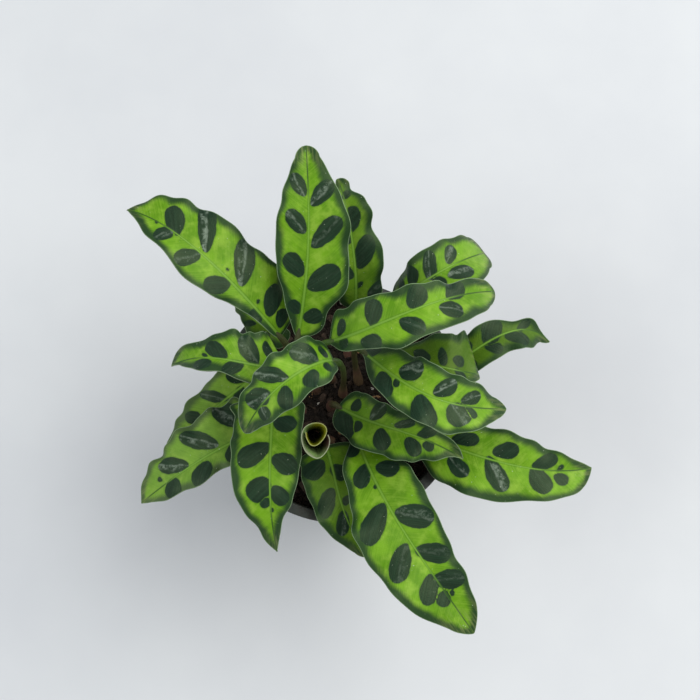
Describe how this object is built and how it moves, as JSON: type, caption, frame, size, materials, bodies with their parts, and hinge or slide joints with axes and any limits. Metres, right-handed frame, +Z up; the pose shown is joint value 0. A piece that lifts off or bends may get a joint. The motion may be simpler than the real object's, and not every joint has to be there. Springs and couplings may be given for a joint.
{
  "type": "potted calathea plant",
  "caption": "Small rattlesnake calathea in a round nursery pot: a rosette of wavy lance-shaped leaves with dark oval spots, and a new leaf still rolled up.",
  "frame": {"origin": "centre of the underside of the pot's floor, on the surface that the pot stands on", "axes": "+Z up along the pot's axis; +Y towards the tallest upright leaf, which is the top of the plant when it is seen from above; +X to the right in that view"},
  "size_m": [0.1866, 0.1836, 0.1555],
  "materials": {
    "pot": "moulded dark grey-green plastic, satin",
    "soil": "moist dark potting mix, crumbly",
    "leaf": "satin leaf, lime green with dark blue-green oval spots, maroon underneath",
    "new_leaf": "satin young leaf, yellow-green inside and pinkish brown outside"
  },
  "bodies": {
    "root": {"pot": "pot", "soil": "soil", "leaf_left_broad": "leaf", "leaf_right_long": "leaf", "leaf_right_broad": "leaf", "leaf_top": "leaf", "leaf_top_behind": "leaf", "leaf_upper_left": "leaf", "leaf_left_narrow": "leaf", "leaf_front_left": "leaf", "leaf_centre_right": "leaf", "leaf_bottom": "leaf", "leaf_bottom_shaded": "leaf", "leaf_lower_right": "leaf", "leaf_right_inner": "leaf", "leaf_far_right": "leaf", "leaf_upper_right": "leaf", "leaf_lower_left": "leaf", "leaf_lower_left_behind": "leaf", "leaf_small_left": "leaf", "leaf_rolled_new": "new_leaf"}
  },
  "joints": []
}
